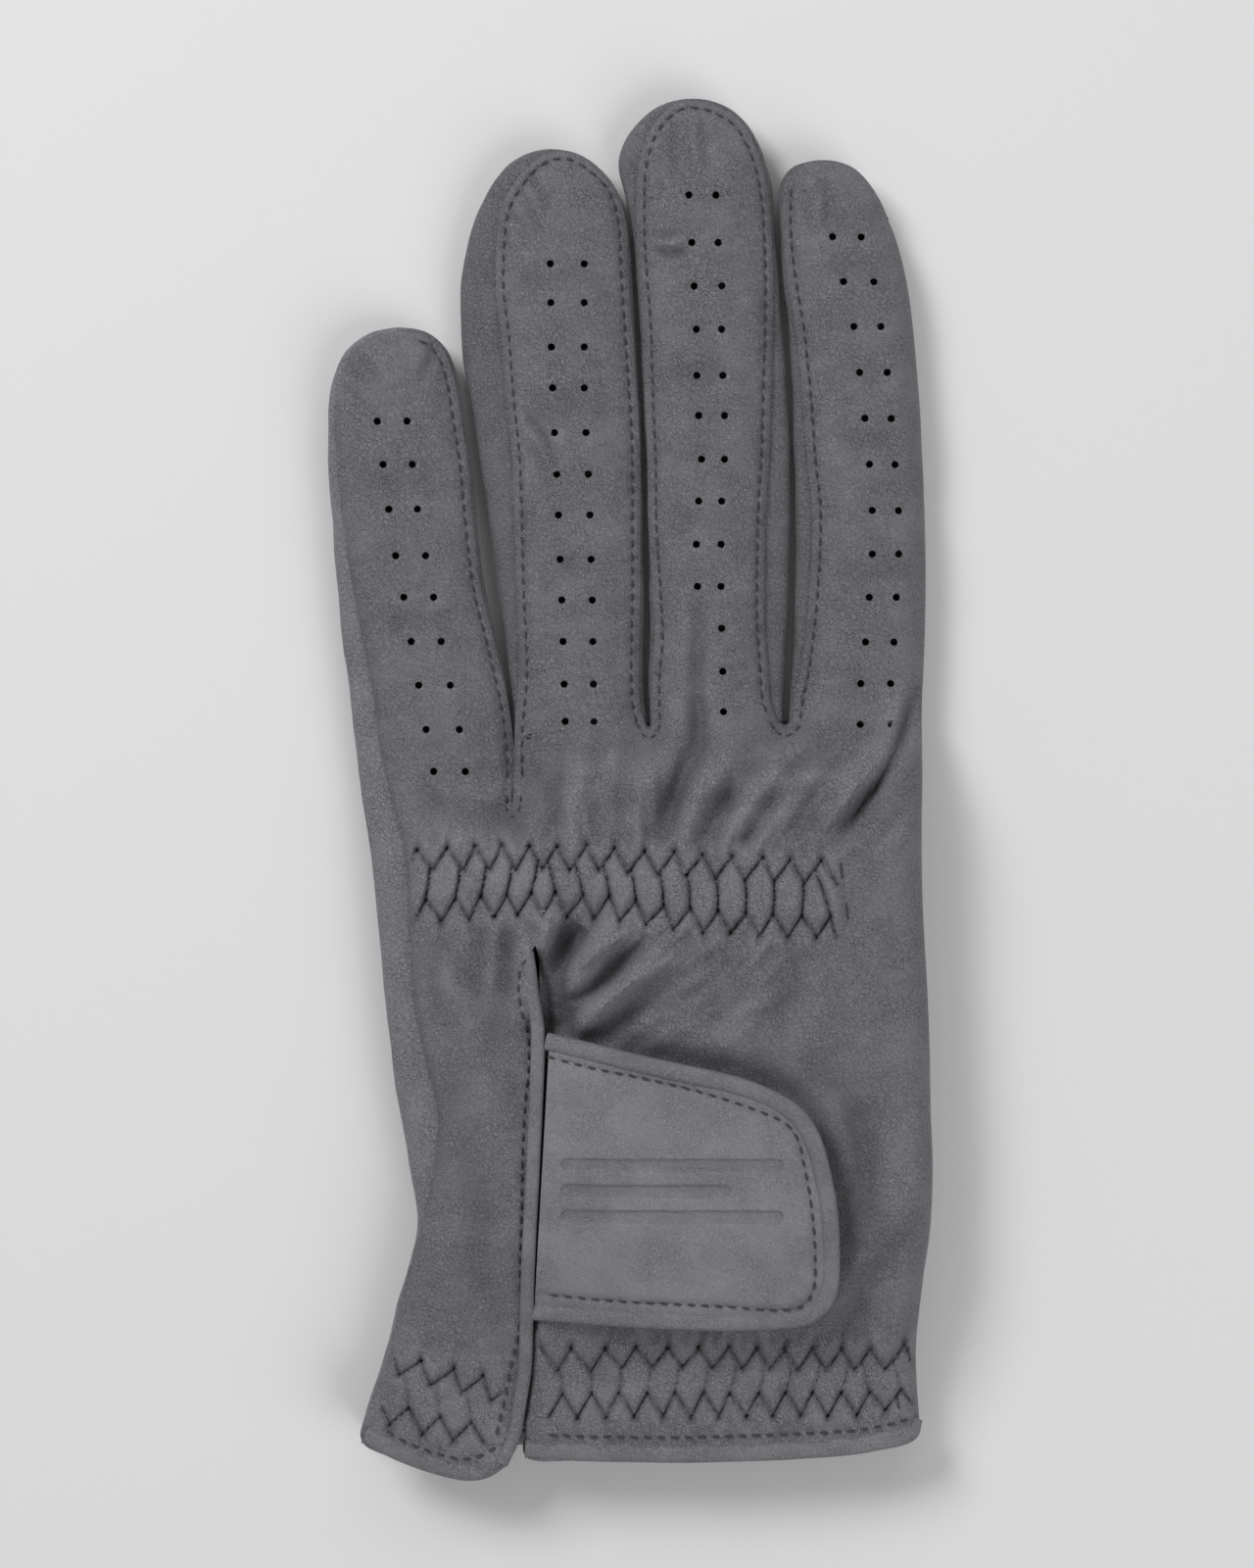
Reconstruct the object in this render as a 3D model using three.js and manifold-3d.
// A left-hand leather golf glove, lying on its palm with the thumb tucked underneath.
// Millimetres. +X points to the index finger's side, +Y to the fingertips, +Z up out of the back of the hand.
// The origin is under the middle of the glove, on the surface that it lies on.
import * as THREE from "three";
import { mergeVertices } from "three/addons/utils/BufferGeometryUtils.js";
import Module from "manifold-3d";

const wasm = await Module();
wasm.setup();

// Driving dimensions.
const LEATHER = 0.7; // thickness of a leather panel
const GAP = 0.3; // clearance between neighbouring pieces
const SIDE_HEIGHT = 8.8; // outer height of the glove along its edges
const CROWN = 2.0; // rise of the back between its edges
const HAND_LEVEL = 1.0; // height of the palm leather above the surface at the cuff
const THUMB_HEIGHT = 7.4; // outer height of the flattened thumb
const PALM_LIFT = THUMB_HEIGHT + 0.5 - HAND_LEVEL; // how far the thumb lifts the palm
const HAND_MIDDLE = 3; // the hand's middle line, in X
const HAND_HALF_WIDTH = 52;
const GRID = 7.6; // spacing of the points on a curved panel
const CURVE_STEPS = 26; // points along a finger's outline
const TAPE = 2.8; // width of a binding tape
const TAPE_WRAP = 0.6; // thickness of a binding tape
const ELASTIC = 0.6; // thickness of an elastic band
const TAB_LAYERS = { loop: [0.3, 1.1], hook: [1.4, 2.2], backing: [2.5, 3.0], cover: [3.3, 4.0] };

const MATERIALS = {
  leather: { color: 0x66666b, roughness: 0.62, metalness: 0 },
  lining: { color: 0x8e8d8c, roughness: 0.9, metalness: 0 },
  binding: { color: 0x6c6c72, roughness: 0.5, metalness: 0 },
  elastic: { color: 0x2f2f33, roughness: 0.9, metalness: 0 },
  fastener: { color: 0x3a3a3e, roughness: 0.95, metalness: 0 },
};

// Each finger's hinge point on the palm side, its lean to the left in degrees, and its outline from the left of its
// base, round the tip, to the right of its base: across the finger, then along it, from the hinge.
const FINGERS = {
  pinky: {
    hinge: [-33.4, 2.4],
    lean: 7.2,
    tip: 1,
    outline: [
      [-13.9, 0], [-13.6, 28], [-12.6, 50], [-11.2, 65], [-6.8, 75], [1, 78.2],
      [7.6, 75.8], [11, 70], [12.5, 55], [12.9, 28], [13.3, 0],
    ],
  },
  ring: {
    hinge: [-8.2, 18],
    lean: 3.2,
    tip: -1,
    outline: [
      [-10.9, 0], [-13.4, 20], [-15.5, 45], [-17.2, 66], [-15.6, 79], [-9.8, 89.5], [-1, 93.5],
      [8, 90], [12.7, 81], [12.9, 60], [12.4, 25], [11.8, 0],
    ],
  },
  middle: {
    hinge: [16.4, 18.5],
    lean: 3.6,
    tip: 0.6,
    outline: [
      [-12.1, 0], [-11.5, 25], [-10.5, 60], [-10.3, 80], [-12.1, 91.3], [-7.5, 99.2], [0.6, 102],
      [8.3, 98.2], [12.1, 88.8], [13.4, 69.7], [14, 49.7], [13.1, 21.7], [12.3, 0],
    ],
  },
  index: {
    hinge: [41.2, 17.5],
    lean: 3.6,
    tip: -1,
    outline: [
      [-11.7, 0], [-10.6, 25], [-9.4, 50], [-9.1, 72], [-9.0, 86], [-6.3, 91.3], [-1, 92],
      [5.4, 88.8], [10, 81.5], [12.6, 67], [13.1, 45], [12, 18], [10.6, 0],
    ],
  },
};
const THUMB = {
  hinge: [31, -60],
  lean: 32,
  hole: 12.2, // radius of the thumb hole in the palm
  neck: 11.6, // outer radius of the thumb's neck, which turns in the hole
  outline: [
    [0, -15], [-10.4, -11], [-14.8, 0], [-14, 22], [-12.4, 42], [-8, 53],
    [0, 57], [8, 53], [12.4, 42], [14, 22], [14.8, 0], [10.4, -11],
  ],
};

// Half-side outlines of the hand, from the cuff up.
const RIGHT_SIDE = [[51, -112.6], [50.3, -97], [51.4, -83], [52.7, -63], [52.1, -46], [51, -25], [50.9, 0]];
const LEFT_SIDE = [[-46.4, -112.4], [-42.3, -100], [-36.6, -80], [-39, -63], [-41.7, -46], [-43.5, -30], [-46, -8]];
const FOLD = [[-44.4, -112], [-15.4, -25]]; // the line that the cuff flap folds about
const SLIT = [[-15.4, -25], [-14.9, -40], [-16.2, -70], [-17, -95], [-18.6, -111]]; // the flap's free edge
const FLAP_HEM = [[-20.6, -115.4], [-24.4, -118.2], [-33, -118.4], [-40, -116.6]];
const BACK_HEM = [[-16.4, -115], [3, -116], [30, -115]];
const PALM_HEM = [[-30, -115], [0, -115.6], [30, -115]];
const FORKS = {
  pinky_ring: { left: [-19.6, -1.5], right: [-18.8, -1.5] },
  ring_middle: { left: [3.6, 11.4], right: [4.4, 11.4] },
  middle_index: { left: [28, 10.2], right: [28.9, 10.2] },
};

// ---- Geometry helpers ----

const radians = THREE.MathUtils.degToRad;
const ramp = (from, to, x) => THREE.MathUtils.smoothstep(x, from, to);
const fall = (from, to, x) => 1 - ramp(from, to, x);

function solidOf(geometry) {
  const bare = new THREE.BufferGeometry();
  bare.setAttribute("position", geometry.getAttribute("position"));
  bare.setIndex(geometry.getIndex());
  const merged = mergeVertices(bare, 1e-4);
  const vertProperties = new Float32Array(merged.getAttribute("position").array);
  const triVerts = new Uint32Array(merged.getIndex().array);
  return new wasm.Manifold(new wasm.Mesh({ numProp: 3, vertProperties, triVerts }));
}

function geometryOf(solid) {
  const mesh = solid.getMesh();
  const geometry = new THREE.BufferGeometry();
  geometry.setAttribute("position", new THREE.BufferAttribute(new Float32Array(mesh.vertProperties), 3));
  geometry.setIndex(new THREE.BufferAttribute(new Uint32Array(mesh.triVerts), 1));
  geometry.computeVertexNormals();
  return geometry;
}

// An upright prism over a plan outline, tall enough to cut any piece.
function prism(points) {
  const shape = new THREE.Shape(points.map(([x, y]) => new THREE.Vector2(x, y)));
  const geometry = new THREE.ExtrudeGeometry(shape, { depth: 80, bevelEnabled: false });
  return solidOf(geometry.translate(0, 0, -40));
}

// The body between two height functions, cut to a plan outline. All sheets share one lattice, so that
// two sheets over the same height function stay parallel.
function sheet(points, low, high, grid = GRID) {
  const box = new THREE.Box2().setFromPoints(points.map(([x, y]) => new THREE.Vector2(x, y)));
  const from = box.min.divideScalar(grid).subScalar(0.1).floor().multiplyScalar(grid);
  const to = box.max.divideScalar(grid).addScalar(0.1).ceil().multiplyScalar(grid);
  const columns = Math.round((to.x - from.x) / grid);
  const rows = Math.round((to.y - from.y) / grid);
  const layer = (columns + 1) * (rows + 1);
  const positions = [];
  for (const height of [high, low]) {
    for (let j = 0; j <= rows; j++) {
      for (let i = 0; i <= columns; i++) {
        const x = from.x + grid * i;
        const y = from.y + grid * j;
        positions.push(x, y, height(x, y));
      }
    }
  }
  const index = [];
  const quad = (a, b, c, d) => index.push(a, b, c, a, c, d);
  const at = (i, j) => j * (columns + 1) + i;
  for (let j = 0; j < rows; j++) {
    for (let i = 0; i < columns; i++) {
      const [a, b, c, d] = [at(i, j), at(i + 1, j), at(i + 1, j + 1), at(i, j + 1)];
      quad(a, b, c, d);
      quad(a + layer, d + layer, c + layer, b + layer);
    }
  }
  const border = [];
  for (let i = 0; i < columns; i++) border.push(at(i, 0));
  for (let j = 0; j < rows; j++) border.push(at(columns, j));
  for (let i = columns; i > 0; i--) border.push(at(i, rows));
  for (let j = rows; j > 0; j--) border.push(at(0, j));
  border.forEach((a, k) => {
    const b = border[(k + 1) % border.length];
    quad(a, a + layer, b + layer, b);
  });
  const geometry = new THREE.BufferGeometry();
  geometry.setAttribute("position", new THREE.Float32BufferAttribute(positions, 3));
  geometry.setIndex(index);
  return solidOf(geometry).intersect(prism(points));
}

function curve(points, steps, closed = false) {
  const path = new THREE.CatmullRomCurve3(points.map(([x, y]) => new THREE.Vector3(x, y, 0)), closed, "centripetal");
  const sampled = path.getPoints(steps).map((p) => [p.x, p.y]);
  if (closed) sampled.pop();
  return sampled;
}

// The points moved sideways, to the left of their direction of travel, with mitred corners.
function shifted(points, distance, closed = false) {
  const n = points.length;
  const leftOf = ([ax, ay], [bx, by]) => new THREE.Vector2(ay - by, bx - ax).normalize();
  return points.map((point, i) => {
    const arriving = closed || i > 0 ? leftOf(points[(i + n - 1) % n], point) : null;
    const leaving = closed || i < n - 1 ? leftOf(point, points[(i + 1) % n]) : null;
    const before = arriving ?? leaving;
    const after = leaving ?? arriving;
    const reach = distance / Math.max(0.3, 1 + before.dot(after));
    return [point[0] + (before.x + after.x) * reach, point[1] + (before.y + after.y) * reach];
  });
}

// The plan outline of a wall that stands along a line, its thickness on the line's left.
const wall = (points, thickness) => [...points, ...shifted(points, thickness).reverse()];

// ---- Heights ----

// The outer face of the palm leather, lifted where the thumb lies under it.
function palmHeight(x, y) {
  const towardsFingers = y + 14 * fall(-22, -6, x);
  const overThumb = ramp(-42, -10, x) * fall(0, 17, towardsFingers) * ramp(-108, -78, y);
  return HAND_LEVEL * fall(0, 14, towardsFingers) + PALM_LIFT * overThumb;
}

// The outer face of the back leather.
function backHeight(x, y) {
  const across = Math.min(1, Math.abs(x - HAND_MIDDLE) / HAND_HALF_WIDTH);
  return palmHeight(x, y) + SIDE_HEIGHT + CROWN * (1 - across ** 4);
}

const above = (height, offset) => (x, y) => height(x, y) + offset;
const palmInside = above(palmHeight, LEATHER + GAP);
const backInside = above(backHeight, -LEATHER - GAP);

// ---- Assembly ----

const glove = new THREE.Group();

function add(parent, name, solid, kind = "leather") {
  const mesh = new THREE.Mesh(geometryOf(solid), new THREE.MeshStandardMaterial(MATERIALS[kind]));
  mesh.name = name;
  parent.add(mesh);
  return mesh;
}

function placedGroup({ hinge, lean }) {
  const group = new THREE.Group();
  group.position.set(hinge[0], hinge[1], 0);
  group.rotation.z = radians(lean);
  glove.add(group);
  return group;
}

// A point given across and along a finger, in the glove's plan.
function onGlove({ hinge, lean }, [across, along]) {
  const a = radians(lean);
  return [
    hinge[0] + across * Math.cos(a) - along * Math.sin(a),
    hinge[1] + across * Math.sin(a) + along * Math.cos(a),
  ];
}

const baseLeft = (finger) => onGlove(finger, finger.outline[0]);
const baseRight = (finger) => onGlove(finger, finger.outline.at(-1));

// A finger stall: a back and a palm panel, with a side strip left and right of the tip.
function addFinger(name, sideNames) {
  const finger = FINGERS[name];
  const group = placedGroup(finger);
  const outline = curve(finger.outline, CURVE_STEPS).reverse().map(([u, v]) => [u, Math.max(v, GAP)]);
  const length = Math.max(...outline.map(([, v]) => v));
  const top = (u, v) => SIDE_HEIGHT + CROWN * (1 - Math.min(1, Math.abs(u) / 16) ** 4) * (1 - (v / length) ** 8);
  add(group, `${name}_back_panel`, sheet(outline, above(top, -LEATHER), top));
  add(group, `${name}_palm_panel`, sheet(outline, () => 0, () => LEATHER, 60));
  const sides = {
    left: outline.filter(([u, v]) => u < finger.tip - GAP || v < length / 2 && u < 0),
    right: outline.filter(([u, v]) => u > finger.tip + GAP || v < length / 2 && u > 0),
  };
  for (const side of ["left", "right"]) {
    const strip = sheet(wall(sides[side], LEATHER), () => LEATHER + GAP, above(top, -LEATHER - GAP));
    add(group, sideNames[side], strip);
  }
}

addFinger("pinky", { left: "pinky_outer_side", right: "pinky_inner_fourchette" });
addFinger("ring", { left: "ring_outer_fourchette", right: "ring_inner_fourchette" });
addFinger("middle", { left: "middle_outer_fourchette", right: "middle_inner_fourchette" });
addFinger("index", { left: "index_outer_fourchette", right: "index_outer_fold" });

// The hand's plan, counter-clockwise from the cuff's right corner, up to each finger's hinge and down each fork.
const { pinky, ring, middle, index } = FINGERS;
const UPPER_EDGE = [
  baseRight(index), baseLeft(index), FORKS.middle_index.right, FORKS.middle_index.left,
  baseRight(middle), baseLeft(middle), FORKS.ring_middle.right, FORKS.ring_middle.left,
  baseRight(ring), baseLeft(ring), FORKS.pinky_ring.right, FORKS.pinky_ring.left,
  baseRight(pinky), baseLeft(pinky),
];
const HAND = [...RIGHT_SIDE, ...UPPER_EDGE, ...LEFT_SIDE.slice().reverse()];

const onlyFlap = [...FOLD, ...SLIT.slice(1), ...FLAP_HEM];
const flapWithRoom = prism([
  [FOLD[0][0] - GAP, FOLD[0][1] - 12], [FOLD[0][0] - GAP, FOLD[0][1]], [FOLD[1][0] - GAP, FOLD[1][1] + GAP],
  ...SLIT.map(([x, y]) => [x + TAPE_WRAP + 3 * GAP, y]), [FLAP_HEM[0][0] + 2, -124],
]);

const thumbCircle = (radius) => {
  const [x, y] = THUMB.hinge;
  return new THREE.EllipseCurve(x, y, radius, radius).getPoints(32).slice(0, -1).map((p) => [p.x, p.y]);
};

add(glove, "back_panel", sheet([...HAND, ...BACK_HEM], above(backHeight, -LEATHER), backHeight).subtract(flapWithRoom));
add(
  glove,
  "palm_panel",
  sheet([...HAND, ...PALM_HEM], palmHeight, above(palmHeight, LEATHER)).subtract(prism(thumbCircle(THUMB.hole))),
);

// The sides of the hand, and the web at the foot of each pair of fourchettes.
const standing = (line) => sheet(wall(line, LEATHER), palmInside, backInside);
add(glove, "radial_fold", standing([...RIGHT_SIDE, baseRight(index)]));
add(glove, "ulnar_side", standing([baseLeft(pinky), ...LEFT_SIDE.slice().reverse()]));
add(glove, "web_pinky_ring", standing([baseLeft(ring), FORKS.pinky_ring.right, FORKS.pinky_ring.left, baseRight(pinky)]));
add(glove, "web_ring_middle", standing([baseLeft(middle), FORKS.ring_middle.right, FORKS.ring_middle.left, baseRight(ring)]));
add(glove, "web_middle_index", standing([baseLeft(index), FORKS.middle_index.right, FORKS.middle_index.left, baseRight(middle)]));

// A flat strip against the inside of the back.
function elasticUnderBack(points) {
  return sheet(points, above(backInside, -ELASTIC), backInside);
}
const band = (left, right, low, high) => [[left, low], [right, low], [right, high], [left, high]];
add(glove, "knuckle_elastic", elasticUnderBack(band(-37, 36, -23.4, -11.8)), "elastic");
add(glove, "cuff_elastic", elasticUnderBack(band(-14.5, 48, -109, -98)), "elastic");
add(glove, "flap_elastic", elasticUnderBack([[-41.5, -108.5], [-23, -108.5], [-21.5, -101], [-39, -101]]), "elastic");

add(glove, "flap_panel", sheet(onlyFlap, above(backHeight, -LEATHER), backHeight));

// A tape folded over the edge of a panel: the line is the panel's edge, with the panel on its left.
function tape(line, panelHeight) {
  const around = LEATHER + GAP + TAPE_WRAP;
  const outer = shifted(line, -TAPE_WRAP - GAP);
  const inner = shifted(line, TAPE);
  const beyond = shifted(line, TAPE + 3);
  const lip = shifted(line, -GAP);
  const whole = sheet([...outer, ...inner.slice().reverse()], above(panelHeight, -around), above(panelHeight, around - LEATHER));
  const slot = sheet([...lip, ...beyond.slice().reverse()], above(panelHeight, -LEATHER - GAP), above(panelHeight, GAP));
  return whole.subtract(slot);
}
const fullBackHem = [[-13.9, -115.1], ...BACK_HEM.slice(1), [48, -112.95]];
const fullPalmHem = [[-43, -112.95], ...PALM_HEM, [48, -112.95]];
add(glove, "cuff_binding_back", tape(fullBackHem, backHeight), "binding");
add(glove, "cuff_binding_palm", tape(fullPalmHem, above(palmHeight, LEATHER)), "binding");
add(glove, "flap_hem_binding", tape([...FLAP_HEM.slice(1).reverse()], backHeight), "binding");
add(glove, "slit_binding", tape([FLAP_HEM[0], ...SLIT.slice(1).reverse()], backHeight), "binding");

// The closure tab: its cover is rounded at the free end, and a tape runs round its edge.
const TAB_ROOT = -15.2;
const tabEdge = curve([[TAB_ROOT, -91], [8, -93], [26, -93], [33.6, -89], [35.8, -80], [35.4, -68], [33, -57.5], [26, -52], [8, -46.5], [TAB_ROOT, -43]], 22);
const overBack = ([low, high]) => [above(backHeight, low), above(backHeight, high)];
add(glove, "loop_patch", sheet(band(-8, 28, -87, -54), ...overBack(TAB_LAYERS.loop)), "fastener");
add(glove, "tab_hook_patch", sheet(band(2, 27, -86, -56), ...overBack(TAB_LAYERS.hook)), "fastener");
add(glove, "tab_backing", sheet(shifted(tabEdge, TAPE + GAP), ...overBack(TAB_LAYERS.backing)), "lining");
add(glove, "tab_cover", sheet(shifted(tabEdge, TAPE + GAP), ...overBack(TAB_LAYERS.cover)));
const tabBinding = sheet(wall(tabEdge, TAPE), above(backHeight, TAB_LAYERS.hook[1]), above(backHeight, TAB_LAYERS.cover[1]));
add(glove, "tab_binding", tabBinding, "binding");

// The thumb: two panels with a band between them. Its neck stands up through the palm's thumb hole.
const thumb = placedGroup(THUMB);
const thumbOutline = curve(THUMB.outline, 36, true).reverse();
const ring2d = (radius) => new THREE.EllipseCurve(0, 0, radius, radius).getPoints(28).slice(0, -1).map((p) => [p.x, p.y]);
const upright = (points, low, high) => sheet(points, () => low, () => high, 80);
const neckTop = THUMB_HEIGHT + LEATHER + 0.9;
const upperLow = THUMB_HEIGHT - LEATHER;
add(thumb, "thumb_lower_panel", upright(thumbOutline, 0, LEATHER));
add(
  thumb,
  "thumb_upper_panel",
  upright(thumbOutline, upperLow, THUMB_HEIGHT)
    .add(upright(ring2d(THUMB.neck), upperLow, neckTop))
    .subtract(upright(ring2d(THUMB.neck - LEATHER), upperLow - 1, neckTop + 1)),
);
add(
  thumb,
  "thumb_side_band",
  upright(thumbOutline, LEATHER + GAP, upperLow - GAP)
    .subtract(upright(shifted(thumbOutline, LEATHER, true), 0, THUMB_HEIGHT)),
);

export default glove;
